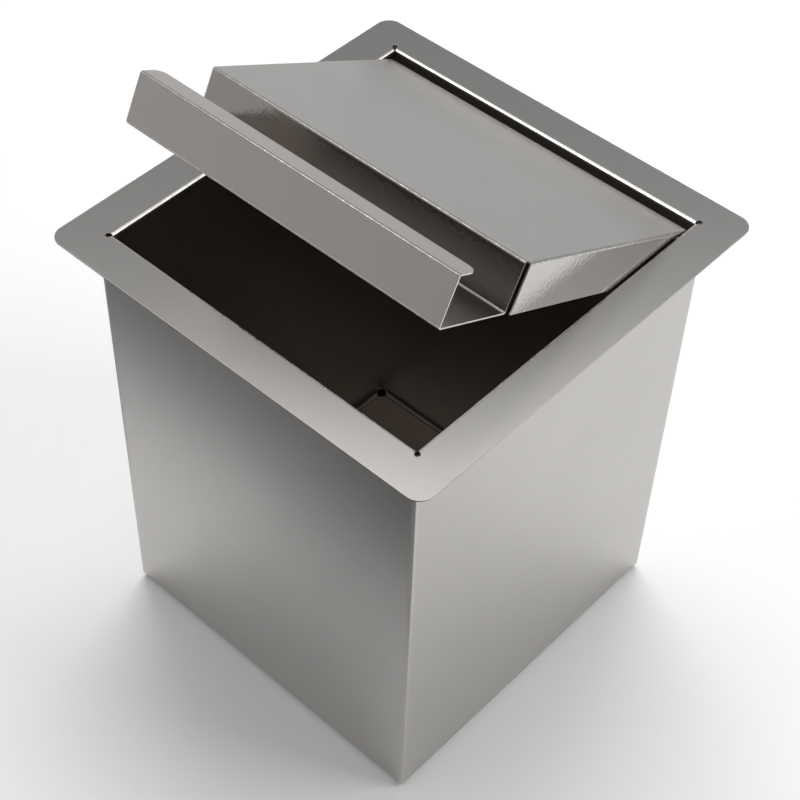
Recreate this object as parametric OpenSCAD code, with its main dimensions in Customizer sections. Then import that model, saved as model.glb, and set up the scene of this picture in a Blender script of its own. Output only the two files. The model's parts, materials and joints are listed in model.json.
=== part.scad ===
// Drop-in countertop waste bin: a folded tub hung under a flat flange frame,
// with a hinged lid whose front edge is folded into a finger channel.
// Origin: centre of the tub's underside. +X right, +Y towards the hinge, +Z up.

/* [Sheet metal] */
// Thickness of the sheet that the frame, the tub and the lid are folded from
sheet_t = 1.2; // [0.9:0.1:1.6]
// Inside radius of the sharp folds
fold_r = 1; // [0.6:0.1:1.2]

/* [Tub] */
// Outside width of the tub, left to right
tub_w = 306; // [220:1:420]
// Outside depth of the tub, front to back
tub_d = 306; // [240:1:420]
// Height from the tub's underside to the top of the flange
body_h = 402; // [200:1:600]
// Inside radius of the folds along the floor
floor_fold_r = 4.8; // [3:0.2:8]
// Outside radius of the ground welds at the upright corners
seam_r = 0.8; // [0.4:0.1:1.2]
// Width of the rim that is folded out under the flange
rim_w = 12; // [10:0.5:18]
// Radius of the relief hole at each corner of the floor
floor_relief_r = 4.2; // [2.5:0.1:4.6]

/* [Flange frame] */
// How far the flange stands out past the tub's walls
flange_overhang = 25; // [16:0.5:60]
// Radius of the flange's outer corners
frame_corner_r = 12; // [6:0.5:20]
// Height of the collar that is folded down round the opening
collar_h = 4; // [3.6:0.1:4.2]
// Gap between the collar and the tub's wall at the left and the right
collar_gap_side = 5.3; // [4:0.1:12]
// Gap between the collar and the tub's wall at the front
collar_gap_front = 5.3; // [0.3:0.1:8]
// Gap between the collar and the tub's wall at the rear, where the lid is hinged
collar_gap_rear = 0.3; // [0.2:0.1:6]
// Radius of the relief hole at each corner of the opening
frame_relief_r = 2.1; // [1:0.1:2.2]

/* [Lid] */
// Gap between the lid's sides and the collar
lid_gap_side = 1.3; // [1:0.1:1.8]
// Gap between the lid's front and the collar when the lid is shut
lid_gap_front = 2.8; // [2.5:0.1:6]
// Gap between the lid's rear edge and the collar when the lid is shut
lid_gap_rear = 9.3; // [9:0.1:14]
// Width of the finger channel, from its front face to the panel's fold
channel_w = 72.8; // [50:0.2:110]
// Outside depth of the finger channel
channel_h = 38.5; // [30:0.5:40]
// How far each end of the channel stops short of the lid's side
channel_inset = 2.9; // [2.5:0.1:4]
// Width of the lip that is turned back over the channel
lip_w = 19.5; // [12:0.5:28]
// Corner radius of the lip
lip_corner_r = 8; // [3:0.5:10]
// Height of the flaps at the lid's sides
flap_h = 38; // [28:0.5:50]
// Length of the slit between each flap and the channel
flap_slit = 2.9; // [2.4:0.1:5]
// Radius of each flap's lower rear corner
flap_corner_r = 8; // [2:0.5:12]
// Angle that the lid stands open in this model, from shut
lid_angle = 27.3; // [0:0.1:100]

/* [Pivots] */
// Distance from the lid's rear edge to the pivot axis
pivot_back = 7; // [6.5:0.1:8]
// Depth of the pivot axis below the top of the lid
pivot_drop = 7; // [6.8:0.1:8]
// Radius of the pivot pin
pin_r = 2; // [1.5:0.1:2.2]
// Running clearance round the pivot pin
pin_clearance = 0.05; // [0.02:0.01:0.1]
// Radius of the stud's shoulder, between the tub wall and the lid
shoulder_r = 2.5; // [2.4:0.1:2.7]
// Radius of the stud's welded foot
stud_foot_r = 4; // [3:0.1:5]
// Thickness of the stud's welded foot
stud_foot_t = 1; // [0.6:0.1:1.5]
// Outside radius of the bush, where it sits in the flap
bush_r = 3; // [2.6:0.1:3.2]
// Radius of the bush's inner flange
bush_flange_r = 4.4; // [3.8:0.1:4.4]
// Thickness of the bush's inner flange
bush_flange_t = 1.2; // [0.8:0.1:2]
// Side play between the bush and what stands next to it
side_play = 0.3; // [0.2:0.05:0.5]
// Thickness of the retaining clip
clip_t = 0.7; // [0.5:0.1:1]
// Outside radius of the retaining clip
clip_r = 4; // [3:0.1:4.4]
// Radius of the groove that holds the clip
groove_r = 1.5; // [1:0.1:1.5]
// Length of the pin's tip past the clip
pin_tip = 1; // [0.6:0.1:2]

/* [Lid rests] */
// Distance from the tub's side to the middle of each rest
rest_inset = 53; // [20:1:75]
// Width of each rest bracket
rest_w = 24; // [16:1:34]
// How far the bracket's shelf reaches in from the wall
rest_reach = 26; // [24:0.5:40]
// Height of the bracket's leg on the wall
rest_leg_h = 22; // [14:1:40]
// Thickness of the bracket
rest_t = 1.5; // [1.2:0.1:2]
// Radius of each bumper
bumper_r = 6; // [4:0.5:7]
// Height of each bumper
bumper_h = 3.2; // [2:0.1:5]
// Radius of the bumper's top edge
bumper_edge_r = 1.6; // [1:0.1:1.8]
// Gap between the shut lid and the bumpers
rest_gap = 0.3; // [0.2:0.05:0.5]

/* [Hidden] */

$fn = 64;
overrun = 1;
fold_out = fold_r + sheet_t;
// Every fold runs this far into the flats that it joins
fold_lap = sheet_t / 4;

// Inner faces and top of the tub
tub_in_x = tub_w / 2 - sheet_t;
tub_in_y = tub_d / 2 - sheet_t;
tub_top = body_h - sheet_t;
floor_fold_out = floor_fold_r + sheet_t;
// Distance from the walls' inner faces to the middle of each relief hole of the floor
floor_relief_back = floor_relief_r + fold_lap;
// The rim's strips stop this far from each upright corner
rim_stop = seam_r + fold_out;

// Outline of the flange
frame_w = tub_w + 2 * flange_overhang;
frame_d = tub_d + 2 * flange_overhang;
// Inner face of the collar
collar_x = tub_in_x - collar_gap_side - sheet_t;
collar_front = collar_gap_front + sheet_t - tub_in_y;
collar_rear = tub_in_y - collar_gap_rear - sheet_t;
// Where the flat of the flange ends round the opening
open_x = collar_x + fold_out;
open_front = collar_front - fold_out;
open_rear = collar_rear + fold_out;
// The collar's strips stop this far from each corner of the opening
collar_stop = fold_out + fold_lap;

// The shut lid's outline
lid_x = collar_x - lid_gap_side;
lid_rear = collar_rear - lid_gap_rear;
lid_front = collar_front + lid_gap_front;
lid_fold = lid_front + channel_w;
channel_x = lid_x - channel_inset;
panel_x = lid_x - fold_out;

// Pivot axis
pivot_y = lid_rear - pivot_back;
pivot_z = body_h - pivot_drop;
bore_r = pin_r + pin_clearance;
flap_in_x = lid_x - sheet_t;
bush_in_x = flap_in_x - bush_flange_t;
bush_out_x = lid_x + side_play;
shoulder_end_x = bush_out_x + side_play;
clip_out_x = bush_in_x - side_play;
clip_in_x = clip_out_x - clip_t;
pin_end_x = clip_in_x - pin_tip;
pin_chamfer = pin_tip / 2;
clip_slot_w = 2 * groove_r;

// Lid rests
rest_x = tub_w / 2 - rest_inset;
shelf_z = body_h - channel_h - rest_gap - bumper_h;
bumper_y = -tub_in_y + rest_reach - bumper_r - rest_t;

// Fold of a sheet about a point, in the quadrant of the two signs, with its laps
module bend(at, quadrant, r_in, t) {
    r_out = r_in + t;
    translate(at)
        mirror([quadrant[0] < 0 ? 1 : 0, 0])
            mirror([0, quadrant[1] < 0 ? 1 : 0]) {
                intersection() {
                    difference() {
                        circle(r_out);
                        circle(r_in);
                    }
                    square(r_out);
                }
                translate([r_in, -fold_lap])
                    square([t, fold_lap]);
                translate([-fold_lap, r_in])
                    square([fold_lap, t]);
            }
}

// Flat strip between two corners of a profile
module strip(low, high) {
    translate(low)
        square([high[0] - low[0], high[1] - low[1]]);
}

// Profile in Y and Z drawn out along X, from x0 to x1
module along_x(x0, x1) {
    translate([x0, 0, 0])
        rotate([90, 0, 90])
            linear_extrude(x1 - x0)
                children();
}

// Profile in X and Z drawn out along Y, from y0 to y1
module along_y(y0, y1) {
    translate([0, y1, 0])
        rotate([90, 0, 0])
            linear_extrude(y1 - y0)
                children();
}

// Rectangle about the origin with round corners
module round_rect(w, d, r) {
    square([w - 2 * r, d], center = true);
    square([w, d - 2 * r], center = true);
    for (x = [-1, 1])
        for (y = [-1, 1])
            translate([x * (w / 2 - r), y * (d / 2 - r)])
                circle(r);
}

// Upright rectangle on the X axis, round at its two lower corners
module round_foot(w, h, r) {
    translate([-w / 2, r])
        square([w, h - r]);
    translate([-w / 2 + r, 0])
        square([w - 2 * r, h]);
    for (x = [-1, 1])
        translate([x * (w / 2 - r), r])
            circle(r);
}

// Fold and collar along one side of the opening, with the flat's end at 0
module collar_profile() {
    bend([0, body_h - fold_out], [-1, 1], fold_r, sheet_t);
    strip([-fold_out, body_h - collar_h], [-fold_r, body_h - fold_out]);
}

module top_frame() {
    color([0.66, 0.65, 0.64]) {
        difference() {
            translate([0, 0, body_h - sheet_t])
                linear_extrude(sheet_t)
                    round_rect(frame_w, frame_d, frame_corner_r);
            translate([-open_x, open_front, body_h - sheet_t - overrun])
                cube([2 * open_x, open_rear - open_front, sheet_t + 2 * overrun]);
            for (x = [-open_x, open_x])
                for (y = [open_front, open_rear])
                    translate([x, y, body_h - sheet_t - overrun])
                        cylinder(h = sheet_t + 2 * overrun, r = frame_relief_r);
        }
        for (side = [0, 1])
            mirror([side, 0, 0])
                along_y(open_front + collar_stop, open_rear - collar_stop)
                    translate([open_x, 0])
                        collar_profile();
        along_x(-open_x + collar_stop, open_x - collar_stop)
            translate([open_rear, 0])
                collar_profile();
        along_x(-open_x + collar_stop, open_x - collar_stop)
            translate([open_front, 0])
                mirror([1, 0])
                    collar_profile();
    }
}

// Solid block with the floor's folds and sharp upright corners, drawn in by the inset
module tub_block(inset, top) {
    r = floor_fold_out - inset;
    translate([0, 0, inset])
        intersection() {
            along_y(-tub_d / 2, tub_d / 2)
                round_foot(tub_w - 2 * inset, top - inset, r);
            along_x(-tub_w / 2, tub_w / 2)
                round_foot(tub_d - 2 * inset, top - inset, r);
        }
}

// Fold and rim along the top of one wall, with the wall's inner face at 0
module rim_profile() {
    bend([fold_out, tub_top - fold_out], [-1, 1], fold_r, sheet_t);
    strip([fold_out, tub_top - sheet_t], [sheet_t + rim_w, tub_top]);
}

module tub() {
    color([0.6, 0.6, 0.6]) {
        difference() {
            intersection() {
                tub_block(0, tub_top - fold_out);
                linear_extrude(tub_top - fold_out)
                    round_rect(tub_w, tub_d, seam_r);
            }
            tub_block(sheet_t, tub_top - fold_out + overrun);
            for (x = [-1, 1])
                for (y = [-1, 1])
                    translate([x * (tub_in_x - floor_relief_back), y * (tub_in_y - floor_relief_back), -overrun])
                        cylinder(h = floor_fold_out + overrun, r = floor_relief_r);
        }
        for (side = [0, 1]) {
            mirror([side, 0, 0])
                along_y(-tub_d / 2 + rim_stop, tub_d / 2 - rim_stop)
                    translate([tub_in_x, 0])
                        rim_profile();
            mirror([0, side, 0])
                along_x(-tub_w / 2 + rim_stop, tub_w / 2 - rim_stop)
                    translate([tub_in_y, 0])
                        rim_profile();
        }
    }
}

// Turns what is drawn for the shut lid to the angle that it stands open
module swing_open() {
    translate([0, pivot_y, pivot_z])
        rotate([-lid_angle, 0, 0])
            translate([0, -pivot_y, -pivot_z])
                children();
}

// Folded section of the channel, from the panel's front fold to the lip
module channel_profile() {
    top = body_h - fold_out;
    low = body_h - channel_h + fold_out;
    bend([lid_fold + fold_out, top], [-1, 1], fold_r, sheet_t);
    strip([lid_fold, low], [lid_fold + sheet_t, top]);
    bend([lid_fold - fold_r, low], [1, -1], fold_r, sheet_t);
    strip([lid_front + fold_out, low - fold_out], [lid_fold - fold_r, low - fold_r]);
    bend([lid_front + fold_out, low], [-1, -1], fold_r, sheet_t);
    strip([lid_front, low], [lid_front + sheet_t, top]);
    bend([lid_front + fold_out, top], [-1, 1], fold_r, sheet_t);
}

// Outline of the lip from above, with its two free corners round
module lip_outline() {
    depth = lip_w - fold_out;
    translate([-channel_x, lid_front + fold_out])
        square([2 * channel_x, depth - lip_corner_r]);
    translate([-channel_x + lip_corner_r, lid_front + fold_out])
        square([2 * (channel_x - lip_corner_r), depth]);
    for (x = [-1, 1])
        translate([x * (channel_x - lip_corner_r), lid_front + lip_w - lip_corner_r])
            circle(lip_corner_r);
}

// Side flap with the fold that joins it to the panel
module flap() {
    y0 = lid_fold + flap_slit;
    along_y(y0, lid_rear)
        bend([panel_x, body_h - fold_out], [1, 1], fold_r, sheet_t);
    difference() {
        along_x(flap_in_x, lid_x) {
            strip([y0, body_h - flap_h], [lid_rear - flap_corner_r, body_h - fold_out]);
            strip([lid_rear - 2 * flap_corner_r, body_h - flap_h + flap_corner_r],
                  [lid_rear, body_h - fold_out]);
            translate([lid_rear - flap_corner_r, body_h - flap_h + flap_corner_r])
                circle(flap_corner_r);
        }
        translate([flap_in_x - overrun, pivot_y, pivot_z])
            rotate([0, 90, 0])
                cylinder(h = sheet_t + 2 * overrun, r = bush_r);
    }
}

module lid() {
    color([0.68, 0.67, 0.66])
        swing_open() {
            along_x(-channel_x, channel_x)
                channel_profile();
            translate([0, 0, body_h - sheet_t])
                linear_extrude(sheet_t)
                    lip_outline();
            translate([-channel_x, lid_fold + fold_out, body_h - sheet_t])
                cube([2 * channel_x, lid_rear - lid_fold - fold_out, sheet_t]);
            translate([-panel_x, lid_fold + flap_slit, body_h - sheet_t])
                cube([2 * panel_x, lid_rear - lid_fold - flap_slit, sheet_t]);
            flap();
            mirror([1, 0, 0])
                flap();
        }
}

// Cylinder along X about the pivot axis
module pivot_disc(x0, x1, r) {
    translate([x0, pivot_y, pivot_z])
        rotate([0, 90, 0])
            cylinder(h = x1 - x0, r = r);
}

// Shouldered stud of the right side, welded to the tub wall
module pivot_stud() {
    color([0.55, 0.55, 0.56]) {
        pivot_disc(tub_in_x - stud_foot_t, tub_in_x, stud_foot_r);
        pivot_disc(shoulder_end_x, tub_in_x - stud_foot_t, shoulder_r);
        pivot_disc(clip_out_x, shoulder_end_x, pin_r);
        pivot_disc(clip_in_x, clip_out_x, groove_r);
        pivot_disc(pin_end_x + pin_chamfer, clip_in_x, pin_r);
        translate([pin_end_x, pivot_y, pivot_z])
            rotate([0, 90, 0])
                cylinder(h = pin_chamfer, r1 = pin_r - pin_chamfer, r2 = pin_r);
    }
}

// Flanged bush of the right side, held in the flap's hole
module pivot_bush() {
    color([0.9, 0.89, 0.84])
        difference() {
            union() {
                pivot_disc(bush_in_x, flap_in_x, bush_flange_r);
                pivot_disc(flap_in_x, bush_out_x, bush_r);
            }
            pivot_disc(bush_in_x - overrun, bush_out_x + overrun, bore_r);
        }
}

// Open retaining clip of the right side, in the pin's groove
module pivot_clip() {
    color([0.4, 0.4, 0.42])
        difference() {
            pivot_disc(clip_in_x, clip_out_x, clip_r);
            pivot_disc(clip_in_x - overrun, clip_out_x + overrun, groove_r);
            translate([clip_in_x - overrun, pivot_y - clip_slot_w / 2, pivot_z - clip_r - overrun])
                cube([clip_t + 2 * overrun, clip_slot_w, clip_r + overrun]);
        }
}

// Angle bracket on the inside of the front wall
module rest_bracket(x) {
    wall_y = -tub_in_y;
    color([0.6, 0.6, 0.6])
        along_x(x - rest_w / 2, x + rest_w / 2) {
            strip([wall_y, shelf_z - rest_leg_h], [wall_y + rest_t, shelf_z - fold_r - rest_t]);
            bend([wall_y + fold_r + rest_t, shelf_z - fold_r - rest_t], [-1, 1], fold_r, rest_t);
            strip([wall_y + fold_r + rest_t, shelf_z - rest_t], [wall_y + rest_reach, shelf_z]);
        }
}

// Round rubber bumper on a bracket's shelf
module rest_bumper(x) {
    flat_r = bumper_r - bumper_edge_r;
    color([0.12, 0.12, 0.12])
        translate([x, bumper_y, shelf_z])
            rotate_extrude() {
                square([bumper_r, bumper_h - bumper_edge_r]);
                square([flat_r, bumper_h]);
                translate([flat_r, bumper_h - bumper_edge_r])
                    intersection() {
                        circle(bumper_edge_r);
                        square(bumper_edge_r);
                    }
            }
}

top_frame();
tub();
lid();
mirror([1, 0, 0]) pivot_stud();  // pivot_stud_left
pivot_stud();  // pivot_stud_right
swing_open() mirror([1, 0, 0]) pivot_bush();  // pivot_bush_left
swing_open() pivot_bush();  // pivot_bush_right
mirror([1, 0, 0]) pivot_clip();  // pivot_clip_left
pivot_clip();  // pivot_clip_right
rest_bracket(-rest_x);  // rest_bracket_left
rest_bracket(rest_x);  // rest_bracket_right
rest_bumper(-rest_x);  // rest_bumper_left
rest_bumper(rest_x);  // rest_bumper_right
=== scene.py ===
"""Drop-in countertop waste bin: the steel finishes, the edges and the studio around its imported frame."""

import json
import math

import bmesh
import bpy
from bpy.props import FloatProperty, FloatVectorProperty, IntProperty, PointerProperty
from bpy.types import Operator, Panel, PropertyGroup
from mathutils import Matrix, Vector


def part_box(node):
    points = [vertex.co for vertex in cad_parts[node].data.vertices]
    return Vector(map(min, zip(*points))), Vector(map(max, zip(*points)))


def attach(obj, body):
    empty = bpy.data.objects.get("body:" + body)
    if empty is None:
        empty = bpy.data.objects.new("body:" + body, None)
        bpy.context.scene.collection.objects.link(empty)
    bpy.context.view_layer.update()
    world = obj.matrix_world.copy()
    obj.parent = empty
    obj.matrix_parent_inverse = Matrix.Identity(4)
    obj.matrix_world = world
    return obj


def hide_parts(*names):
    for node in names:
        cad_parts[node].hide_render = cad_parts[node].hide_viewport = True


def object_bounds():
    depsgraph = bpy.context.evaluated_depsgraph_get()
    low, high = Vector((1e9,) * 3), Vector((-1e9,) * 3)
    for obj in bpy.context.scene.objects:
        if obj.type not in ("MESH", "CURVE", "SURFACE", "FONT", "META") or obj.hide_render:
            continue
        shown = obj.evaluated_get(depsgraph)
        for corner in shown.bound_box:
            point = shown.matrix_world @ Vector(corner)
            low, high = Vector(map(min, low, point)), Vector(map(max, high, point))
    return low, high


bl_info = {
    "name": "Countertop Waste Bin",
    "version": (1, 0, 0),
    "blender": (4, 5, 0),
    "location": "View3D > Sidebar > Waste Bin",
    "description": "Finishes a drop-in countertop waste bin around its packed frame",
    "category": "Object",
}

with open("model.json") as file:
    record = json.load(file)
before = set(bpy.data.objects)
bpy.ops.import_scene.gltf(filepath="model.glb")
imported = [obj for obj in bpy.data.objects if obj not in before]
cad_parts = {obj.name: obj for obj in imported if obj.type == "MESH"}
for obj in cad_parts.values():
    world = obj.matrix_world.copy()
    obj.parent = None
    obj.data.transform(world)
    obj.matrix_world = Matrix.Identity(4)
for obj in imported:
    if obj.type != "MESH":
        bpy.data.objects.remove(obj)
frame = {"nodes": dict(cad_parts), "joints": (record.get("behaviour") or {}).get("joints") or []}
CAD_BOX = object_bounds()
HINGE = frame["joints"][0]
# The lid's turn from shut to the angle that it stands open in the frame
LID_TURN = -math.radians(HINGE["range_deg"][0])

SIDES = ("left", "right")
# Points closer than this are one point
MERGE = 1e-6
# Faces that differ less than this in slope are one flat face
FLAT_ANGLE = math.radians(0.5)
# Faces that differ less than this in slope belong to one smooth surface
SMOOTH_ANGLE = math.radians(30)
# A face looks in a direction if the cosine of the angle between the two is more than this
FACING = 0.99
# Numbers of the materials that all sheet pieces have: face, cut edge, and small edges scorched and painted
# near black, also as shade in the relief holes
FACE, CUT, SCORCHED_AND_SHADED = range(3)
# Numbers of the other materials of the top frame and the lid; the last is the channel's rear wall, a darker
# copy of the steel painted as shade
FOLD, PANEL, GLOSSY, CHANNEL_SHADE = range(3, 7)
# Numbers of the other materials of the tub: the inside, darkened in part as painted shade, the painted
# shade on the rim's top, and the painted shade in the inside creases
INSIDE, RIM_SHADE, CREASE_SHADE = range(3, 6)
# Painted shade: the ground under the tub is black up to this distance from its walls, where their folds
# leave the ground
FOOT_FOLD = 0.005
# Painted shade: a black spot under the relief hole at the rear left; how far its middle is from both walls,
# and its radius
SHADE_SPOT_BACK = 0.0045
SHADE_SPOT_RADIUS = 0.0047
# Height of the dark flag over the ground
FLAG_LIFT = 0.002
# Width of the camera's sensor in millimetres
SENSOR_WIDTH = 36.0


# Kinds of settings


def colour_setting(name, description, default):
    """A colour."""
    return FloatVectorProperty(
        name=name,
        description=description,
        subtype="COLOR",
        min=0,
        max=1,
        default=default,
    )


def share_setting(name, description, default):
    """A number from 0 to 1."""
    return FloatProperty(name=name, description=description, min=0, max=1, default=default)


def length_setting(name, description, default, high, low=0):
    """A length between two limits."""
    return FloatProperty(
        name=name,
        description=description,
        unit="LENGTH",
        min=low,
        max=high,
        default=default,
    )


def place_setting(name, description, default):
    """A point in the frame."""
    return FloatVectorProperty(
        name=name,
        description=description,
        subtype="TRANSLATION",
        unit="LENGTH",
        default=default,
    )


def level_setting(name, description, default, high):
    """A brightness up to a limit."""
    return FloatProperty(name=name, description=description, min=0, max=high, default=default)


def turn_setting(name, description, degrees):
    """An angle without limits."""
    return FloatProperty(
        name=name,
        description=description,
        subtype="ANGLE",
        default=math.radians(degrees),
    )


def slope_setting(name, description, degrees):
    """An angle up to a right one."""
    return FloatProperty(
        name=name,
        description=description,
        subtype="ANGLE",
        min=0,
        max=math.radians(90),
        default=math.radians(degrees),
    )


def lamp_turn(lamp, degrees):
    """The direction of a far softbox."""
    description = f"Direction of the {lamp} softbox, counted from +X towards +Y"
    return turn_setting(f"{lamp.capitalize()} turn", description, degrees)


def lamp_height(lamp, degrees):
    """The elevation of a far softbox."""
    return slope_setting(f"{lamp.capitalize()} height", f"Elevation of the {lamp} softbox", degrees)


def lamp_spread(lamp, degrees):
    """The size of a far softbox, as an angle."""
    description = f"Angle that the {lamp} softbox takes up, seen from the bin"
    return slope_setting(f"{lamp.capitalize()} spread", description, degrees)


# Settings


class SheetSettings(PropertyGroup):
    """Finish of the folded stainless sheet."""

    colour: colour_setting(
        "Satin steel",
        "Colour that the satin face of the sheet reflects",
        (0.53, 0.515, 0.5),
    )
    frame_colour: colour_setting(
        "Frame steel",
        "Colour that the flat flange reflects",
        (0.477, 0.464, 0.45),
    )
    lid_colour: colour_setting(
        "Lid steel",
        "Colour that the lid's folded front reflects",
        (0.505, 0.475, 0.455),
    )
    # Painted shade: the channel's rear wall is a darker, browner copy of the steel, for the shade in the
    # channel
    channel_shade_colour: colour_setting(
        "Channel",
        "Colour that the rear wall of the finger channel reflects",
        (0.43, 0.405, 0.38),
    )
    # Partly painted shade: the inside is duller mill steel, and also darker and browner than it, for the
    # shade inside the tub
    mill_and_shade_colour: colour_setting(
        "Mill steel",
        "Colour that the duller inside of the tub reflects",
        (0.41, 0.37, 0.34),
    )
    # Painted shade: the folds inside the tub are painted dark, for the shade in the creases
    crease_shade_colour: colour_setting(
        "Creases",
        "Colour that the folds inside the tub reflect",
        (0.2, 0.185, 0.17),
    )
    fold_colour: colour_setting(
        "Pressed fold",
        "Colour that the folds reflect, where the press has rubbed them",
        (0.66, 0.65, 0.63),
    )
    edge_colour: colour_setting(
        "Cut edge",
        "Colour that the cut edges of the sheet reflect",
        (0.72, 0.71, 0.7),
    )
    # Painted shade: the frame's outer cut edges are painted darker than the other cut edges, for the shade
    # on them
    dull_edge_colour: colour_setting(
        "Dull edge",
        "Colour that the frame's outer cut edges reflect",
        (0.34, 0.335, 0.33),
    )
    # Scorched edges, painted near black, which also stands in for the shade inside the small relief holes
    scorch_and_shade_colour: colour_setting(
        "Scorched edge",
        "Colour that the small edges reflect where the cutting beam burnt them",
        (0.05, 0.045, 0.04),
    )
    # Painted shade: the top of the tub's rim, in the shade under the flange, is painted near black
    rim_shade_colour: colour_setting(
        "Sealant",
        "Colour of the sealant between the tub's rim and the flange",
        (0.012, 0.012, 0.012),
    )
    roughness: share_setting("Satin roughness", "Roughness of the satin face", 0.32)
    lid_roughness: share_setting("Lid roughness", "Roughness of the lid's face", 0.2)
    panel_roughness: share_setting("Panel roughness", "Roughness of the top of the lid's panel", 0.36)
    glossy_roughness: share_setting(
        "Glossy roughness",
        "Roughness of the lid's flaps and of the back of its channel",
        0.1,
    )
    inside_roughness: share_setting("Mill roughness", "Roughness of the inside of the tub", 0.42)
    edge_roughness: share_setting("Edge roughness", "Roughness of the cut edges", 0.38)
    scratches: share_setting("Scratches", "How strongly the hairline scratches show", 0.08)
    mottle: share_setting("Mottle", "How much the colour of the sheet clouds over", 0.1)
    dimple_size: length_setting(
        "Dimple size",
        "Size of the dimples on the glossy faces",
        0.0016,
        high=0.01,
        low=0.0001,
    )
    dimple_depth: length_setting(
        "Dimple depth",
        "Depth of the dimples on the glossy faces",
        0.00015,
        high=0.001,
    )
    grain_size: length_setting(
        "Grain size",
        "Size of the dimples that rolling leaves",
        0.0011,
        high=0.01,
        low=0.0001,
    )
    grain_depth: length_setting(
        "Grain depth",
        "Depth of the dimples that rolling leaves",
        0.000008,
        high=0.0001,
    )
    press_depth: length_setting("Press depth", "Depth of the marks along the folds", 0.000004, high=0.0001)
    band: length_setting(
        "Ground band",
        "Width of the ground strip on each side of a welded corner",
        0.003,
        high=0.02,
    )


class EdgeSettings(PropertyGroup):
    """How the edges of the pieces are broken and told apart."""

    sheet_bevel: length_setting(
        "Sheet bevel",
        "Width of the bevel along the cut edges of the sheet",
        0.00013,
        high=0.001,
    )
    small_bevel: length_setting(
        "Small bevel",
        "Width of the bevel on the turned and moulded pieces",
        0.00008,
        high=0.001,
    )
    segments: IntProperty(
        name="Bevel segments",
        description="Number of steps across each bevel",
        min=1,
        max=6,
        default=2,
    )
    cut_width: length_setting(
        "Cut width",
        "Strips narrower than this are cut edges of the sheet",
        0.0015,
        high=0.01,
    )
    # Small cut edges take the scorched colour, which also paints the shade inside the relief holes
    scorch_area: FloatProperty(
        name="Scorch area",
        description="Cut edges smaller than this were burnt by the cutting beam",
        unit="AREA",
        min=0,
        max=0.001,
        default=0.00002,
        precision=6,
    )
    # The painted shade on the tub's rim reaches down this far from its top
    rim_fold: length_setting("Rim fold", "Height of the fold along the tub's rim", 0.0022, high=0.01)
    fold_width: length_setting(
        "Fold width",
        "Facets narrower than this belong to a fold",
        0.0005,
        high=0.01,
    )


class FittingSettings(PropertyGroup):
    """Finish of the pivots and the lid rests."""

    turned_colour: colour_setting("Turned steel", "Colour that the pivot studs reflect", (0.56, 0.55, 0.54))
    turned_roughness: share_setting("Turned roughness", "Roughness of the pivot studs", 0.28)
    nylon_colour: colour_setting("Nylon", "Colour of the pivot bushes", (0.78, 0.76, 0.69))
    nylon_roughness: share_setting("Nylon roughness", "Roughness of the pivot bushes", 0.45)
    spring_colour: colour_setting(
        "Spring steel",
        "Colour that the oiled retaining clips reflect",
        (0.16, 0.15, 0.145),
    )
    spring_roughness: share_setting("Spring roughness", "Roughness of the retaining clips", 0.35)
    rubber_colour: colour_setting("Rubber", "Colour of the lid's bumpers", (0.022, 0.022, 0.023))
    rubber_roughness: share_setting("Rubber roughness", "Roughness of the lid's bumpers", 0.7)
    groove_pitch: length_setting(
        "Turning pitch",
        "Distance between the tool marks on the turned faces",
        0.0003,
        high=0.002,
        low=0.00005,
    )


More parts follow.
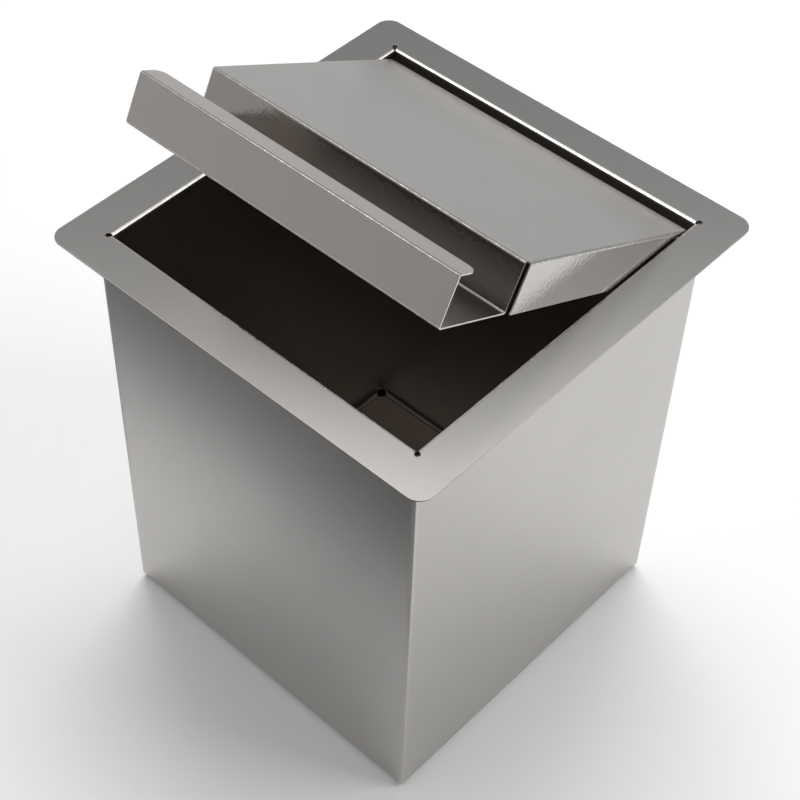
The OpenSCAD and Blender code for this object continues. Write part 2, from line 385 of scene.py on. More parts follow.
class StudioSettings(PropertyGroup):
    """Floor, sky, lamps and flag."""

    floor_radius: length_setting("Floor radius", "Radius of the round floor", 2.3, high=20, low=1)
    floor_colour: colour_setting("Floor", "Colour of the floor", (0.98, 0.98, 0.98))
    horizon_level: level_setting("Horizon", "Brightness of the sky at the horizon", 0.42, high=4)
    bright_level: level_setting(
        "Bright horizon",
        "Brightness of the sky at the brightest side of the horizon",
        0.74,
        high=4,
    )
    bright_turn: turn_setting(
        "Bright turn",
        "Direction of the brightest side of the horizon, counted from +X towards +Y",
        165,
    )
    zenith_level: level_setting("Zenith", "Brightness of the sky overhead", 0.34, high=4)
    zenith_height: slope_setting(
        "Zenith height",
        "Elevation above which the sky keeps its brightness",
        35,
    )
    lamp_distance: length_setting(
        "Lamp distance",
        "Distance from the bin to each far softbox",
        3.2,
        high=20,
        low=1,
    )
    main_level: level_setting("Main level", "Brightness of the main softbox", 4.2, high=20)
    main_turn: lamp_turn("main", 130)
    main_height: lamp_height("main", 62)
    main_spread: lamp_spread("main", 40)
    right_level: level_setting("Right level", "Brightness of the right softbox", 4.2, high=20)
    right_turn: lamp_turn("right", 32)
    right_height: lamp_height("right", 43)
    right_spread: lamp_spread("right", 24)
    front_level: level_setting("Front level", "Brightness of the front softbox", 0.75, high=20)
    front_turn: lamp_turn("front", -110)
    front_height: lamp_height("front", 55)
    front_spread: lamp_spread("front", 24)
    fold_level: level_setting(
        "Fold level",
        "Brightness of the softboxes that only light the folds",
        3.0,
        high=20,
    )
    rear_fold_turn: lamp_turn("rear fold", -128)
    rear_fold_height: lamp_height("rear fold", 28)
    rear_fold_spread: lamp_spread("rear fold", 56)
    left_fold_turn: lamp_turn("left fold", 35)
    left_fold_height: lamp_height("left fold", 18)
    left_fold_spread: lamp_spread("left fold", 34)
    right_fold_turn: lamp_turn("right fold", 150)
    right_fold_height: lamp_height("right fold", 8)
    right_fold_spread: lamp_spread("right fold", 14)
    front_fold_turn: lamp_turn("front fold", 117)
    front_fold_height: lamp_height("front fold", 14)
    front_fold_spread: lamp_spread("front fold", 9)
    lid_fold_turn: lamp_turn("lid fold", -174)
    lid_fold_height: lamp_height("lid fold", 63)
    lid_fold_spread: lamp_spread("lid fold", 15)
    flange_level: level_setting(
        "Flange level",
        "Brightness of the softbox that only lights the flange",
        1.3,
        high=20,
    )
    flange_lamp_size: length_setting(
        "Flange lamp size",
        "Width of the flange's softbox",
        1.29,
        high=3,
        low=0.01,
    )
    flange_lamp_place: place_setting(
        "Flange lamp place",
        "Where the flange's softbox hangs, over the near corner",
        (0.205, -0.202, 0.956),
    )
    tub_level: level_setting(
        "Tub level",
        "Brightness of the softbox that only lights the tub",
        16.5,
        high=200,
    )
    tub_lamp_size: length_setting("Tub lamp size", "Width of the tub's softbox", 0.25, high=2, low=0.01)
    tub_lamp_place: place_setting("Tub lamp place", "Where the tub's softbox hangs", (0.3, -0.68, 1.2))
    flag_colour: colour_setting("Flag", "Colour of the dark flag", (0.03, 0.03, 0.03))
    flag_gap: length_setting(
        "Flag gap",
        "Distance from the tub's front wall to the near edge of the dark flag",
        0.16,
        high=2,
    )
    flag_width: length_setting("Flag width", "Width of the dark flag", 1.8, high=5)
    flag_depth: length_setting(
        "Flag depth",
        "How far the dark flag reaches from its near edge",
        0.45,
        high=2,
    )


class CameraSettings(PropertyGroup):
    """Camera at the angle of the reference view."""

    place: place_setting("Place", "Where the camera stands", (0.6272, -0.7212, 1.2796))
    turn: turn_setting("Turn", "Turn of the camera round the bin, from the front towards the right", 43.71)
    height: turn_setting("Height", "Angle of the camera above the horizon", 48.93)
    lens: FloatProperty(
        name="Lens",
        description="Focal length in millimetres",
        min=1,
        default=81.70,
    )
    shift: FloatVectorProperty(
        name="Shift",
        description="Shift of the lens, as shares of the picture",
        size=2,
        default=(0.0760, 0.0401),
    )


class WasteBinSettings(PropertyGroup):
    """All the settings of the waste bin."""

    sheet: PointerProperty(name="Sheet", type=SheetSettings)
    edges: PointerProperty(name="Edges", type=EdgeSettings)
    fittings: PointerProperty(name="Fittings", type=FittingSettings)
    studio: PointerProperty(name="Studio", type=StudioSettings)
    camera: PointerProperty(name="Camera", type=CameraSettings)


def settings():
    """The waste bin's settings in this scene."""
    return bpy.context.scene.waste_bin


# Shader nodes


def put(tree, kind, inputs=None, **attributes):
    """Adds a node, sets its attributes, and sets or links its inputs by name or number."""
    node = tree.nodes.new(kind)
    for name, value in attributes.items():
        setattr(node, name, value)
    for name, value in (inputs or {}).items():
        if isinstance(value, bpy.types.NodeSocket):
            tree.links.new(value, node.inputs[name])
        else:
            node.inputs[name].default_value = value
    return node


def maths(tree, operation, first, second=0.0):
    """Output of a Math node on two values or sockets."""
    return put(tree, "ShaderNodeMath", {0: first, 1: second}, operation=operation).outputs[0]


def vector_maths(tree, operation, first, second=(0.0, 0.0, 0.0), output="Vector"):
    """Output of a Vector Math node on two vectors or sockets."""
    return put(tree, "ShaderNodeVectorMath", {0: first, 1: second}, operation=operation).outputs[output]


def parted(tree, vector):
    """Outputs X, Y and Z of a vector."""
    return put(tree, "ShaderNodeSeparateXYZ", {0: vector}).outputs


def noise(tree, vector, scale, **more):
    """Output of a Noise Texture node, with more of its inputs by name."""
    return put(tree, "ShaderNodeTexNoise", {"Vector": vector, "Scale": scale, **more}).outputs["Fac"]


def ramp(tree, value, low, high, to_low=0.0, to_high=1.0):
    """Output of a smooth Map Range from low..high to to_low..to_high."""
    inputs = {"Value": value, "From Min": low, "From Max": high, "To Min": to_low, "To Max": to_high}
    return put(tree, "ShaderNodeMapRange", inputs, interpolation_type="SMOOTHSTEP").outputs[0]


def colour4(colour):
    """A colour with full alpha."""
    return (*colour, 1.0)


def mixed_colour(tree, factor, first, second):
    """Output of a Mix node on two colours with alpha, or sockets."""
    inputs = {"Factor": factor, "A": first, "B": second}
    return put(tree, "ShaderNodeMix", inputs, data_type="RGBA").outputs["Result"]


# Finishes that the materials share


def new_group(name, inputs, outputs):
    """An empty node group and the sockets inside it, whose names and kinds are given."""
    tree = bpy.data.node_groups.new(name, "ShaderNodeTree")
    for in_out, sockets in (("INPUT", inputs), ("OUTPUT", outputs)):
        for socket, kind in sockets.items():
            tree.interface.new_socket(socket, in_out=in_out, socket_type=f"NodeSocket{kind}")
    return tree, tree.nodes.new("NodeGroupInput").outputs, tree.nodes.new("NodeGroupOutput").inputs


def build_rolled_grain():
    """Shallow dimples of rolled sheet, a little longer one way than the other."""
    stretch = (1.0, 0.55, 0.55)
    tree, given, result = new_group(
        "rolled_grain",
        {"Vector": "Vector", "Size": "Float"},
        {"Height": "Float"},
    )
    stretched = vector_maths(tree, "MULTIPLY", given["Vector"], stretch)
    frequency = maths(tree, "DIVIDE", 1.0, given["Size"])
    dimples = noise(tree, stretched, frequency, Detail=2.0, Roughness=0.6)
    tree.links.new(dimples, result["Height"])


def build_cloudy_mottle():
    """Soft clouds and finer smudges of colour and gloss over a wide face."""
    cloud_scale, smudge_scale = 9.0, 70.0
    smudge_share = 0.4
    tree, given, result = new_group(
        "cloudy_mottle",
        {"Vector": "Vector", "Colour": "Color", "Amount": "Float", "Roughness": "Float"},
        {"Colour": "Color", "Roughness": "Float"},
    )
    clouds = noise(tree, given["Vector"], cloud_scale, Detail=3.0, Distortion=0.6)
    smudges = noise(tree, given["Vector"], smudge_scale, Detail=4.0)
    both = put(tree, "ShaderNodeMix", {"Factor": smudge_share, "A": clouds, "B": smudges}).outputs["Result"]
    centred = maths(tree, "SUBTRACT", both, 0.5)
    swing = maths(tree, "MULTIPLY", centred, given["Amount"])
    level = maths(tree, "ADD", 1.0, swing)
    tinted = put(tree, "ShaderNodeVectorMath", {0: given["Colour"], "Scale": level}, operation="SCALE")
    rougher = maths(tree, "SUBTRACT", 1.0, swing)
    gloss = maths(tree, "MULTIPLY", given["Roughness"], rougher)
    tree.links.new(tinted.outputs[0], result["Colour"])
    tree.links.new(gloss, result["Roughness"])


def build_fine_scratches():
    """Sparse hairlines in two crossing directions."""
    turns = ((0.4, 0.3, 0.6), (-0.5, 0.9, -1.1))
    # Waves in a metre, across the hairlines both ways and along them
    frequencies = (900.0, 900.0, 7.0)
    # Heights of the waves at which a hairline starts and is full
    line_start, line_full = 0.72, 0.8
    tree, given, result = new_group(
        "fine_scratches",
        {"Vector": "Vector", "Density": "Float"},
        {"Mask": "Float"},
    )
    lines = []
    for turn in turns:
        inputs = {"Vector": given["Vector"], "Rotation": turn, "Scale": frequencies}
        turned = put(tree, "ShaderNodeMapping", inputs).outputs[0]
        waves = noise(tree, turned, 1.0, Detail=1.0)
        lines.append(ramp(tree, waves, line_start, line_full))
    either = maths(tree, "MAXIMUM", *lines)
    tree.links.new(maths(tree, "MULTIPLY", either, given["Density"]), result["Mask"])


def build_ground_band():
    """Mask of the strips along the tub's four upright corners, where the welds were ground."""
    wobble_scale = 60.0
    # Shares of the band: its least width, and the stretch over which it fades
    least_share, fade_share = 0.8, 0.5
    tree, given, result = new_group(
        "ground_band",
        {"Vector": "Vector", "Half Width": "Float", "Half Depth": "Float", "Band": "Float"},
        {"Mask": "Float"},
    )
    apart = parted(tree, given["Vector"])
    gaps = []
    for axis, half in (("X", "Half Width"), ("Y", "Half Depth")):
        distance = maths(tree, "ABSOLUTE", apart[axis])
        gaps.append(maths(tree, "SUBTRACT", given[half], distance))
    wider = maths(tree, "MAXIMUM", *gaps)
    wobble = noise(tree, given["Vector"], wobble_scale)
    drift = maths(tree, "MULTIPLY", wobble, given["Band"])
    least = maths(tree, "MULTIPLY", given["Band"], least_share)
    edge = maths(tree, "SUBTRACT", maths(tree, "ADD", least, drift), wider)
    scaled = maths(tree, "DIVIDE", edge, given["Band"])
    tree.links.new(ramp(tree, scaled, 0.0, fade_share), result["Mask"])


def build_press_marks():
    """Specks and short streaks along the folds."""
    speck_scale, streak_scale = 1100.0, 160.0
    # Heights of the specks and streaks at which a mark starts and is full
    mark_start, mark_full = 0.2, 0.36
    # Shares of the roughness beside the marks and on them
    beside_share, mark_share = 1.1, 0.8
    tree, given, result = new_group(
        "press_marks",
        {"Vector": "Vector", "Low": "Color", "High": "Color", "Roughness": "Float"},
        {"Colour": "Color", "Roughness": "Float", "Height": "Float"},
    )
    specks = noise(tree, given["Vector"], speck_scale, Detail=1.0)
    streaks = noise(tree, given["Vector"], streak_scale, Detail=2.0)
    both = maths(tree, "MULTIPLY", specks, streaks)
    mask = ramp(tree, both, mark_start, mark_full)
    share = ramp(tree, mask, 0.0, 1.0, beside_share, mark_share)
    tree.links.new(mixed_colour(tree, mask, given["Low"], given["High"]), result["Colour"])
    tree.links.new(maths(tree, "MULTIPLY", given["Roughness"], share), result["Roughness"])
    tree.links.new(specks, result["Height"])


def build_effects():
    """Builds the shader groups that the materials share."""
    build_rolled_grain()
    build_cloudy_mottle()
    build_fine_scratches()
    build_ground_band()
    build_press_marks()


def placed(tree, name, inputs):
    """Outputs of a node group that is placed in a material."""
    return put(tree, "ShaderNodeGroup", inputs, node_tree=bpy.data.node_groups[name]).outputs


def mottled(tree, place, colour, amount, roughness):
    """Outputs of the cloudy mottle: Colour and Roughness."""
    inputs = {"Vector": place, "Colour": colour4(colour), "Amount": amount, "Roughness": roughness}
    return placed(tree, "cloudy_mottle", inputs)


def grained(tree, place, size):
    """Height of the rolled grain."""
    return placed(tree, "rolled_grain", {"Vector": place, "Size": size})["Height"]


# Materials


def new_material(name):
    """A material with an empty tree, its Principled shader and its object coordinates."""
    material = bpy.data.materials.new(name)
    material.use_nodes = True
    tree = material.node_tree
    tree.nodes.clear()
    shader = tree.nodes.new("ShaderNodeBsdfPrincipled")
    put(tree, "ShaderNodeOutputMaterial", {"Surface": shader.outputs["BSDF"]})
    place = tree.nodes.new("ShaderNodeTexCoord").outputs["Object"]
    return material, tree, shader, place


def laid_out(tree, place, turn):
    """Coordinates of a sheet that is turned about X, as the open lid is."""
    return put(tree, "ShaderNodeMapping", {"Vector": place, "Rotation": (turn, 0.0, 0.0)}).outputs[0]


def finish(tree, shader, colour, roughness, height, depth, metallic=1.0):
    """Links colour, roughness and height to a shader, the height as a relief of the given depth."""
    relief = put(tree, "ShaderNodeBump", {"Height": height, "Strength": 1.0, "Distance": depth})
    shader.inputs["Metallic"].default_value = metallic
    tree.links.new(colour, shader.inputs["Base Color"])
    tree.links.new(roughness, shader.inputs["Roughness"])
    tree.links.new(relief.outputs["Normal"], shader.inputs["Normal"])


def sheet_material(name, colour, roughness, turn=0.0, corners=None, dimples=None):
    """Rolled stainless sheet.

    Its corners are ground if the half sizes of a box are given. Dimples are their size and depth.
    """
    # Roughness that scratches and grinding add, and share of the colour that ground steel has
    scratch_roughness, ground_roughness, ground_share = 0.25, 0.12, 1.12
    sheet = settings().sheet
    size, depth = dimples or (sheet.grain_size, sheet.grain_depth)
    material, tree, shader, place = new_material(name)
    laid = laid_out(tree, place, turn)
    face = mottled(tree, laid, colour, sheet.mottle, roughness)
    scratches = placed(tree, "fine_scratches", {"Vector": laid, "Density": sheet.scratches})["Mask"]
    scratched = maths(tree, "MULTIPLY", scratches, scratch_roughness)
    gloss = maths(tree, "ADD", face["Roughness"], scratched)
    tint = face["Colour"]
    if corners:
        inputs = {"Vector": laid, "Half Width": corners[0], "Half Depth": corners[1], "Band": sheet.band}
        band = placed(tree, "ground_band", inputs)["Mask"]
        gloss = maths(tree, "ADD", gloss, maths(tree, "MULTIPLY", band, ground_roughness))
        ground = tuple(min(1.0, ground_share * value) for value in colour)
        tint = mixed_colour(tree, band, tint, colour4(ground))
    finish(tree, shader, tint, gloss, grained(tree, laid, size), depth)
    return material


def fold_material(name, roughness, turn=0.0):
    """Sheet on the outside of a fold, streaked and speckled by the press."""
    sheet = settings().sheet
    material, tree, shader, place = new_material(name)
    inputs = {
        "Vector": laid_out(tree, place, turn),
        "Low": colour4(sheet.colour),
        "High": colour4(sheet.fold_colour),
        "Roughness": roughness,
    }
    marks = placed(tree, "press_marks", inputs)
    finish(tree, shader, marks["Colour"], marks["Roughness"], marks["Height"], sheet.press_depth)
    return material


def cut_edge_material(name, colour):
    """Slightly torn edge of cut sheet, more clouded than its face."""
    mottle_share = 3
    tear_size, tear_depth = 0.0004, 0.00001
    sheet = settings().sheet
    material, tree, shader, place = new_material(name)
    face = mottled(tree, place, colour, mottle_share * sheet.mottle, sheet.edge_roughness)
    finish(tree, shader, face["Colour"], face["Roughness"], grained(tree, place, tear_size), tear_depth)
    return material


def turned_material(name, colour, roughness):
    """Turned steel with tool marks round the hinge's axis."""
    mottle = 0.25
    groove_depth = 0.000006
    material, tree, shader, place = new_material(name)
    centred = vector_maths(tree, "SUBTRACT", place, Vector(HINGE["pos_m"]))
    flat = vector_maths(tree, "MULTIPLY", centred, (0.0, 1.0, 1.0))
    radius = vector_maths(tree, "LENGTH", flat, output="Value")
    travel = maths(tree, "ADD", radius, parted(tree, centred)["X"])
    phase = maths(tree, "MULTIPLY", travel, 2 * math.pi / settings().fittings.groove_pitch)
    grooves = maths(tree, "SINE", phase)
    face = mottled(tree, place, colour, mottle, roughness)
    finish(tree, shader, face["Colour"], face["Roughness"], grooves, groove_depth)
    return material


def moulded_material(name, colour, roughness, grain_size, grain_depth):
    """Moulded nylon or rubber with a fine surface."""
    mottle = 0.2
    material, tree, shader, place = new_material(name)
    face = mottled(tree, place, colour, mottle, roughness)
    skin = grained(tree, place, grain_size)
    finish(tree, shader, face["Colour"], face["Roughness"], skin, grain_depth, metallic=0.0)
    return material


def edge_materials():
    """The cut and the scorched edges' materials, made the first time that they are asked for; the scorched
    one is painted near black, also as shade in the relief holes.
    """
    sheet = settings().sheet
    finishes = (("cut_edge", sheet.edge_colour), ("scorched_and_shaded_edge", sheet.scorch_and_shade_colour))
    return [bpy.data.materials.get(name) or cut_edge_material(name, colour) for name, colour in finishes]


# Meshes


def smooth_patches(bm):
    """Groups of faces that run smoothly into each other."""
    bm.faces.index_update()
    seen = set()
    patches = []
    for first in bm.faces:
        if first.index in seen:
            continue
        seen.add(first.index)
        patch, waiting = [], [first]
        while waiting:
            face = waiting.pop()
            patch.append(face)
            for edge in face.edges:
                for other in edge.link_faces:
                    if other.index in seen or edge.calc_face_angle(0.0) > SMOOTH_ANGLE:
                        continue
                    seen.add(other.index)
                    waiting.append(other)
        patches.append(patch)
    return patches


def mean_width(patch):
    """Twice a patch's area over the length of its outline."""
    inner = set(face.index for face in patch)
    area = sum(face.calc_area() for face in patch)
    outline = sum(
        edge.calc_length()
        for face in patch
        for edge in face.edges
        if any(other.index not in inner for other in edge.link_faces)
    )
    return 2 * area / outline if outline else math.inf


def cut_or_face(patch):
    """Material number of a sheet's patch: a face, a cut edge, or a small scorched one painted near black,
    also as shade in holes.
    """
    edges = settings().edges
    if mean_width(patch) > edges.cut_width:
        return FACE
    area = sum(face.calc_area() for face in patch)
    return SCORCHED_AND_SHADED if area < edges.scorch_area else CUT


def on_fold(facet):
    """Whether a facet is one of the narrow ones that make up a fold."""
    width = facet.calc_area() / max(edge.calc_length() for edge in facet.edges)
    return width < settings().edges.fold_width


def finished_copy(node, body, materials, bevel, choose=None, repaint=None):
    """Makes a copy of a CAD node, with clean faces, broken edges and its materials.

    Choose gives the number of the material of a smooth patch, and repaint changes it for single faces.
    """
    mesh = bpy.data.meshes.new(f"{node}_finished")
    bm = bmesh.new()
    bm.from_mesh(frame["nodes"][node].data)
    bmesh.ops.remove_doubles(bm, verts=bm.verts, dist=MERGE)
    bmesh.ops.dissolve_limit(bm, angle_limit=FLAT_ANGLE, verts=bm.verts, edges=bm.edges)
    for patch in smooth_patches(bm):
        index = choose(patch) if choose else FACE
        for face in patch:
            face.material_index = repaint(face, index) if repaint else index
    sharp = [edge for edge in bm.edges if edge.calc_face_angle(0.0) > SMOOTH_ANGLE]
    bmesh.ops.bevel(
        bm,
        geom=sharp,
        offset=bevel,
        segments=settings().edges.segments,
        profile=0.5,
        affect="EDGES",
        clamp_overlap=False,
        material=-1,
    )
    for face in bm.faces:
        face.smooth = True
    bm.to_mesh(mesh)
    bm.free()
    for material in materials:
        mesh.materials.append(material)
    piece = bpy.data.objects.new(f"{node}_finished", mesh)
    bpy.context.scene.collection.objects.link(piece)
    weights = piece.modifiers.new("weighted normals", "WEIGHTED_NORMAL")
    weights.keep_sharp = False
    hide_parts(node)
    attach(piece, body)


def finished_pair(kind, body, materials, bevel, choose=None):
    """Makes the finished copies of a kind's left and right nodes."""
    for side in SIDES:
        finished_copy(f"{kind}_{side}", body, materials, bevel, choose=choose)


def foot_box():
    """Half width and half depth of the tub's walls, under the rim."""
    low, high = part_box("tub")
    middle = (low.z + high.z) / 2
    points = [vertex.co for vertex in frame["nodes"]["tub"].data.vertices if vertex.co.z < middle]
    return max(point.x for point in points), max(point.y for point in points)


# Pieces


class BuildTopFrame(Operator):
    """Finishes the flat flange frame with its folded collar."""

    bl_idname = "waste_bin.top_frame"
    bl_label = "Top frame"

    def execute(self, context):
        sheet = settings().sheet
        face = sheet_material("satin_frame", sheet.frame_colour, sheet.roughness)
        folds = fold_material("frame_folds", sheet.roughness)
        # Painted shade: the outer cut edges are painted darker
        edge = cut_edge_material("dull_edge", sheet.dull_edge_colour)
        # Small cut edges: scorched, and painted near black as shade in the relief holes
        scorched = edge_materials()[1]

        def repaint(facet, index):
            return FOLD if index == FACE and on_fold(facet) else index

        finished_copy(
            "top_frame",
            "bin",
            [face, edge, scorched, folds],
            settings().edges.sheet_bevel,
            choose=cut_or_face,
            repaint=repaint,
        )
        return {"FINISHED"}


class BuildTub(Operator):
    """Finishes the folded tub, satin outside and mill-dull inside, with painted shade inside, in the inside
    creases and on the rim's top.
    """

    bl_idname = "waste_bin.tub"
    bl_label = "Tub"

    def execute(self, context):
        sheet = settings().sheet
        low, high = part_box("tub")
        face = sheet_material("satin_tub", sheet.colour, sheet.roughness, corners=foot_box())
        # Painted shade in part: the inside's colour is darker than mill steel alone
        inside = sheet_material("mill_inside_and_shade", sheet.mill_and_shade_colour, sheet.inside_roughness)
        # Painted shade on the rim's top under the flange
        rim_shade = moulded_material(
            "painted_rim_shade",
            sheet.rim_shade_colour,
            roughness=0.6,
            grain_size=0.0008,
            grain_depth=0.00002,
        )
        # Painted shade in the inside creases
        crease_shade = sheet_material("painted_crease_shade", sheet.crease_shade_colour, sheet.inside_roughness)
        middle = (low + high) / 2
        top = high.z - settings().edges.rim_fold

        def choose(patch):
            index = cut_or_face(patch)
            if index != FACE:
                return index
            wide = max(patch, key=lambda one: one.calc_area())
            inward = (middle - wide.calc_center_median()).dot(wide.normal) > 0
            return INSIDE if inward else FACE

        def repaint(facet, index):
            # Painted shade: faces at the rim's top are painted near black
            if facet.calc_center_median().z > top:
                return RIM_SHADE
            # Painted shade: narrow facets of the inside folds are painted dark
            return CREASE_SHADE if index == INSIDE and on_fold(facet) else index

        finished_copy(
            "tub",
            "bin",
            [face, *edge_materials(), inside, rim_shade, crease_shade],
            settings().edges.sheet_bevel,
            choose=choose,
            repaint=repaint,
        )
        return {"FINISHED"}


class BuildLid(Operator):
    """Finishes the folded lid with its finger channel."""

    bl_idname = "waste_bin.lid"
    bl_label = "Lid"

    def execute(self, context):
        sheet = settings().sheet
        # Facets that look forward from further behind the lid's front are the channel's rear wall
        rear_wall_back = 0.03
        # Share of the dimples' depth that the channel's rear wall has
        channel_share = 0.5
        face = sheet_material("satin_lid", sheet.lid_colour, sheet.lid_roughness, turn=LID_TURN)
        folds = fold_material("lid_folds", sheet.roughness, turn=LID_TURN)
        panel = sheet_material("satin_panel", sheet.colour, sheet.panel_roughness, turn=LID_TURN)
        glossy = sheet_material(
            "glossy_lid",
            sheet.colour,
            sheet.glossy_roughness,
            turn=LID_TURN,
            dimples=(sheet.dimple_size, sheet.dimple_depth),
        )
        # Painted shade: the channel's rear wall gets a darker copy of the steel
        channel = sheet_material(
            "painted_channel_shade",
            sheet.channel_shade_colour,
            sheet.glossy_roughness,
            turn=LID_TURN,
            dimples=(sheet.dimple_size, channel_share * sheet.dimple_depth),
        )
        # Only the panel's two faces are larger than this once their triangles are joined
        largest = max(polygon.area for polygon in frame["nodes"]["lid"].data.polygons)
        forward = Vector((0.0, -math.cos(LID_TURN), math.sin(LID_TURN)))
        front = max(vertex.co.dot(forward) for vertex in frame["nodes"]["lid"].data.vertices)

        def repaint(facet, index):
            if index != FACE:
                return index
            if on_fold(facet):
                return FOLD
            if abs(facet.normal.x) > FACING:
                return GLOSSY
            back = front - facet.calc_center_median().dot(forward)
            # The channel's rear wall gets the painted shade
            if facet.normal.dot(forward) > FACING and back > rear_wall_back:
                return CHANNEL_SHADE
            return PANEL if facet.calc_area() > largest and facet.normal.z > 0 else index

        finished_copy(
            "lid",
            "lid",
            [face, *edge_materials(), folds, panel, glossy, channel],
            settings().edges.sheet_bevel,
            choose=cut_or_face,
            repaint=repaint,
        )
        return {"FINISHED"}


class BuildPivotStuds(Operator):
    """Finishes the two turned studs that carry the lid."""

    bl_idname = "waste_bin.pivot_studs"
    bl_label = "Pivot studs"

    def execute(self, context):
        fittings = settings().fittings
        turned = turned_material("turned_steel", fittings.turned_colour, fittings.turned_roughness)
        finished_pair("pivot_stud", "bin", [turned], settings().edges.small_bevel)
        return {"FINISHED"}


class BuildPivotBushes(Operator):
    """Finishes the two moulded bushes in the lid's flaps."""

    bl_idname = "waste_bin.pivot_bushes"
    bl_label = "Pivot bushes"

    def execute(self, context):
        fittings = settings().fittings
        nylon = moulded_material(
            "moulded_nylon",
            fittings.nylon_colour,
            fittings.nylon_roughness,
            grain_size=0.0003,
            grain_depth=0.000006,
        )
        finished_pair("pivot_bush", "lid", [nylon], settings().edges.small_bevel)
        return {"FINISHED"}


class BuildPivotClips(Operator):
    """Finishes the two retaining clips."""

    bl_idname = "waste_bin.pivot_clips"
    bl_label = "Pivot clips"

    def execute(self, context):
        fittings = settings().fittings
        spring = turned_material("oiled_spring", fittings.spring_colour, fittings.spring_roughness)
        finished_pair("pivot_clip", "bin", [spring], settings().edges.small_bevel)
        return {"FINISHED"}


class BuildRestBrackets(Operator):
    """Finishes the two angle brackets that the shut lid rests on."""

    bl_idname = "waste_bin.rest_brackets"
    bl_label = "Rest brackets"

    def execute(self, context):
        sheet = settings().sheet
        face = sheet_material("satin_bracket", sheet.colour, sheet.roughness)
        materials = [face, *edge_materials()]
        bevel = settings().edges.sheet_bevel
        finished_pair("rest_bracket", "bin", materials, bevel, choose=cut_or_face)
        return {"FINISHED"}


class BuildRestBumpers(Operator):
    """Finishes the two rubber bumpers on the brackets."""

    bl_idname = "waste_bin.rest_bumpers"
    bl_label = "Rest bumpers"

    def execute(self, context):
        fittings = settings().fittings
        rubber = moulded_material(
            "bumper_rubber",
            fittings.rubber_colour,
            fittings.rubber_roughness,
            grain_size=0.0004,
            grain_depth=0.00002,
        )
        finished_pair("rest_bumper", "bin", [rubber], settings().edges.small_bevel)
        return {"FINISHED"}


# Stage


def heading(turn, height):
    """Unit vector at a turn from +X towards +Y and a height above the horizon."""
    flat = math.cos(height)
    return Vector((flat * math.cos(turn), flat * math.sin(turn), math.sin(height)))


def staged(name, bm, material):
    """An object of the studio, with its mesh and material."""
    mesh = bpy.data.meshes.new(name)
    bm.to_mesh(mesh)
    bm.free()
    mesh.materials.append(material)
    thing = bpy.data.objects.new(name, mesh)
    bpy.context.scene.collection.objects.link(thing)
    return thing


def floor_material():
    """Pale floor, painted black under the tub as shade, so that the tub's relief holes open on to darkness.
    """
    mottle, roughness = 0.01, 0.9
    material, tree, shader, place = new_material("pale_floor")
    half_width, half_depth = foot_box()
    # Painted shade: black inside the tub's footprint and in the spot under the rear left relief hole, pale
    # elsewhere
    apart = parted(tree, vector_maths(tree, "ABSOLUTE", place))
    beside = maths(
        tree,
        "MAXIMUM",
        maths(tree, "GREATER_THAN", apart["X"], half_width - FOOT_FOLD),
        maths(tree, "GREATER_THAN", apart["Y"], half_depth - FOOT_FOLD),
    )
    spot = (SHADE_SPOT_BACK - half_width, half_depth - SHADE_SPOT_BACK, 0.0)
    distance = vector_maths(tree, "DISTANCE", place, spot, output="Value")
    clear = maths(tree, "GREATER_THAN", distance, SHADE_SPOT_RADIUS)
    pale = maths(tree, "MULTIPLY", beside, clear)
    face = mottled(tree, place, settings().studio.floor_colour, mottle, roughness)
    shown = mixed_colour(tree, pale, (0.0, 0.0, 0.0, 1.0), face["Colour"])
    shader.inputs["Specular IOR Level"].default_value = 0.0
    tree.links.new(shown, shader.inputs["Base Color"])
    tree.links.new(face["Roughness"], shader.inputs["Roughness"])
    return material


def build_floor():
    """Round floor under the tub."""
    segments = 128
    bm = bmesh.new()
    radius = settings().studio.floor_radius
    bmesh.ops.create_circle(bm, cap_ends=True, radius=radius, segments=segments)
    floor = staged("floor", bm, floor_material())
    floor.location.z = CAD_BOX[0].z


def build_sky():
    """Plain sky, a little paler at the horizon."""
    studio = settings().studio
    world = bpy.data.worlds.new("studio_sky")
    bpy.context.scene.world = world
    world.use_nodes = True
    tree = world.node_tree
    tree.nodes.clear()
    direction = tree.nodes.new("ShaderNodeTexCoord").outputs["Generated"]
    height = maths(tree, "ARCSINE", parted(tree, direction)["Z"])
    bright_side = heading(studio.bright_turn, 0.0)
    bright = vector_maths(tree, "DOT_PRODUCT", direction, bright_side, output="Value")
    horizon = ramp(tree, bright, 0.0, 1.0, studio.horizon_level, studio.bright_level)
    level = ramp(tree, height, 0.0, studio.zenith_height, horizon, studio.zenith_level)
    background = put(tree, "ShaderNodeBackground", {"Color": (1.0, 1.0, 1.0, 1.0), "Strength": level})
    put(tree, "ShaderNodeOutputWorld", {"Surface": background.outputs[0]})


def build_lamp(name, place, target, size, level):
    """Square softbox at a place, turned to a target, with a face of the given brightness."""
    data = bpy.data.lights.new(name, "AREA")
    data.shape = "SQUARE"
    data.size = size
    data.energy = level * math.pi * size**2
    lamp = bpy.data.objects.new(name, data)
    bpy.context.scene.collection.objects.link(lamp)
    lamp.location = place
    lamp.rotation_mode = "QUATERNION"
    lamp.rotation_quaternion = (target - place).to_track_quat("-Z", "Y")
    lamp.visible_camera = False
    return lamp


def build_far_lamp(kind, level):
    """Far softbox that points at the bin, in the direction and of the size that its settings give."""
    studio = settings().studio
    distance = studio.lamp_distance
    way = heading(getattr(studio, f"{kind}_turn"), getattr(studio, f"{kind}_height"))
    size = 2 * distance * math.tan(getattr(studio, f"{kind}_spread") / 2)
    middle = (CAD_BOX[0] + CAD_BOX[1]) / 2
    return build_lamp(f"{kind}_softbox", middle + way * distance, middle, size, level)


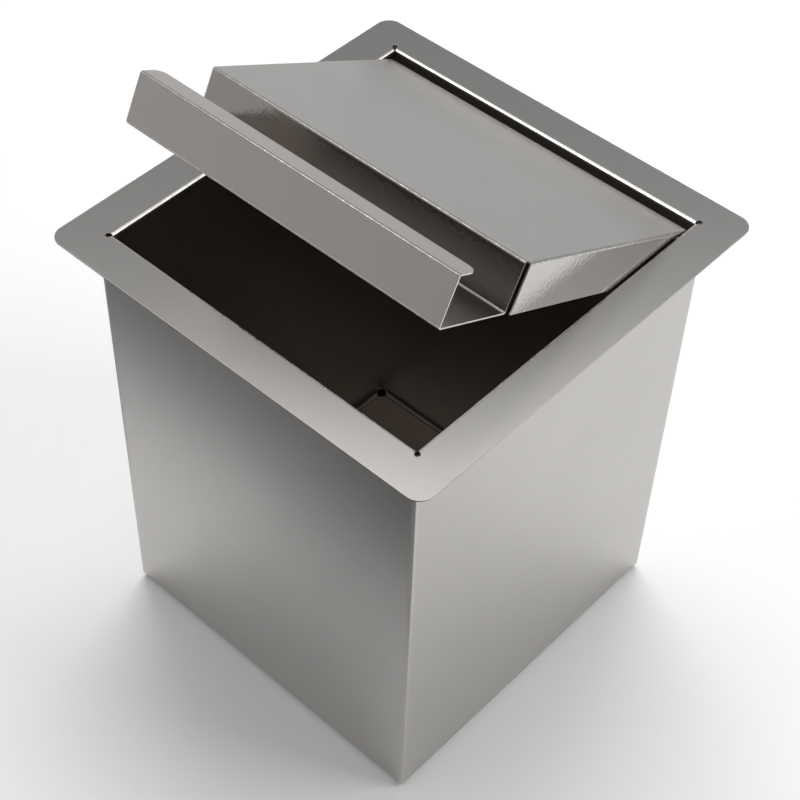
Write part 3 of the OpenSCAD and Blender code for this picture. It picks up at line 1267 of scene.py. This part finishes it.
def link_lamp(lamp, kind, state, *nodes):
    """Says whether a lamp lights some pieces (kind receiver), or whether they shade it (kind blocker)."""
    collection = bpy.data.collections.new(f"{lamp.name}_{kind}")
    for node in nodes:
        collection.objects.link(bpy.data.objects[f"{node}_finished"])
    for link in collection.collection_objects:
        link.light_linking.link_state = state
    setattr(lamp.light_linking, f"{kind}_collection", collection)


def build_lamps():
    """Three softboxes that leave out the frame, the lid and the brackets, and others for one piece each."""
    studio = settings().studio
    brackets = [f"rest_bracket_{side}" for side in SIDES]
    for kind in ("main", "right", "front"):
        lamp = build_far_lamp(kind, getattr(studio, f"{kind}_level"))
        link_lamp(lamp, "receiver", "EXCLUDE", "top_frame", "lid", *brackets)
    corner = Vector((CAD_BOX[1].x, CAD_BOX[0].y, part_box("top_frame")[1].z))
    flange = build_lamp(
        "flange_softbox",
        Vector(studio.flange_lamp_place),
        corner,
        studio.flange_lamp_size,
        studio.flange_level,
    )
    arms = ("rear", "left", "right", "front")
    folds = [build_far_lamp(f"{arm}_fold", studio.fold_level) for arm in arms]
    for lamp in (flange, *folds):
        link_lamp(lamp, "receiver", "INCLUDE", "top_frame")
        link_lamp(lamp, "blocker", "EXCLUDE", "lid")
    link_lamp(build_far_lamp("lid_fold", studio.fold_level), "receiver", "INCLUDE", "lid")
    tub = build_lamp(
        "tub_softbox",
        Vector(studio.tub_lamp_place),
        Vector((0.0, 0.0, 0.0)),
        studio.tub_lamp_size,
        studio.tub_level,
    )
    link_lamp(tub, "receiver", "INCLUDE", "tub")


def build_flag():
    """Dark flag on the floor ahead of the front wall, which only shows in reflections."""
    studio = settings().studio
    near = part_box("tub")[0].y - studio.flag_gap
    far = near - studio.flag_depth
    half_width = studio.flag_width / 2
    bm = bmesh.new()
    outline = ((-half_width, far), (half_width, far), (half_width, near), (-half_width, near))
    bm.faces.new([bm.verts.new((x, y, FLAG_LIFT)) for x, y in outline])
    material, _, shader, _ = new_material("black_flag")
    shader.inputs["Base Color"].default_value = colour4(studio.flag_colour)
    shader.inputs["Specular IOR Level"].default_value = 0.0
    flag = staged("flag", bm, material)
    flag.visible_camera = False
    flag.visible_diffuse = False
    flag.visible_shadow = False
    flag.visible_transmission = False


def build_camera():
    """Camera at the angle of the reference view."""
    view = settings().camera
    data = bpy.data.cameras.new("camera")
    data.lens = view.lens
    data.sensor_width = SENSOR_WIDTH
    data.shift_x, data.shift_y = view.shift
    camera = bpy.data.objects.new("camera", data)
    bpy.context.scene.collection.objects.link(camera)
    camera.location = view.place
    away = heading(view.turn - math.pi / 2, view.height)
    camera.rotation_mode = "QUATERNION"
    camera.rotation_quaternion = (-away).to_track_quat("-Z", "Y")
    bpy.context.scene.camera = camera


class BuildStage(Operator):
    """Makes the floor, the sky, the softboxes, the flag and the camera."""

    bl_idname = "waste_bin.stage"
    bl_label = "Stage"

    def execute(self, context):
        build_floor()
        build_sky()
        build_lamps()
        build_flag()
        build_camera()
        context.scene.view_settings.view_transform = "Standard"
        return {"FINISHED"}


BUILDERS = (
    BuildTopFrame,
    BuildTub,
    BuildLid,
    BuildPivotStuds,
    BuildPivotBushes,
    BuildPivotClips,
    BuildRestBrackets,
    BuildRestBumpers,
    BuildStage,
)


class WasteBinPanel(Panel):
    """Lists the pieces and their settings in the 3D view's sidebar."""

    bl_idname = "VIEW3D_PT_waste_bin"
    bl_label = "Waste Bin"
    bl_space_type = "VIEW_3D"
    bl_region_type = "UI"
    bl_category = "Waste Bin"

    def draw(self, context):
        layout = self.layout
        for builder in BUILDERS:
            layout.operator(builder.bl_idname)
        for group in context.scene.waste_bin.bl_rna.properties:
            if group.type != "POINTER" or group.identifier == "rna_type":
                continue
            box = layout.box()
            box.label(text=group.name)
            held = getattr(context.scene.waste_bin, group.identifier)
            for value in held.bl_rna.properties:
                if value.identifier not in {"rna_type", "name"}:
                    box.prop(held, value.identifier)


CLASSES = (
    SheetSettings,
    EdgeSettings,
    FittingSettings,
    StudioSettings,
    CameraSettings,
    WasteBinSettings,
    *BUILDERS,
    WasteBinPanel,
)


def register():
    """Registers the classes and adds the waste bin's settings to the scene."""
    for cls in CLASSES:
        bpy.utils.register_class(cls)
    bpy.types.Scene.waste_bin = PointerProperty(name="Waste bin", type=WasteBinSettings)


def unregister():
    """Takes the settings off the scene and unregisters the classes."""
    del bpy.types.Scene.waste_bin
    for cls in reversed(CLASSES):
        bpy.utils.unregister_class(cls)


def main():
    """Builds the whole scene."""
    register()
    build_effects()
    bpy.ops.waste_bin.top_frame()
    bpy.ops.waste_bin.tub()
    bpy.ops.waste_bin.lid()
    bpy.ops.waste_bin.pivot_studs()
    bpy.ops.waste_bin.pivot_bushes()
    bpy.ops.waste_bin.pivot_clips()
    bpy.ops.waste_bin.rest_brackets()
    bpy.ops.waste_bin.rest_bumpers()
    bpy.ops.waste_bin.stage()


if __name__ == "__main__":
    main()
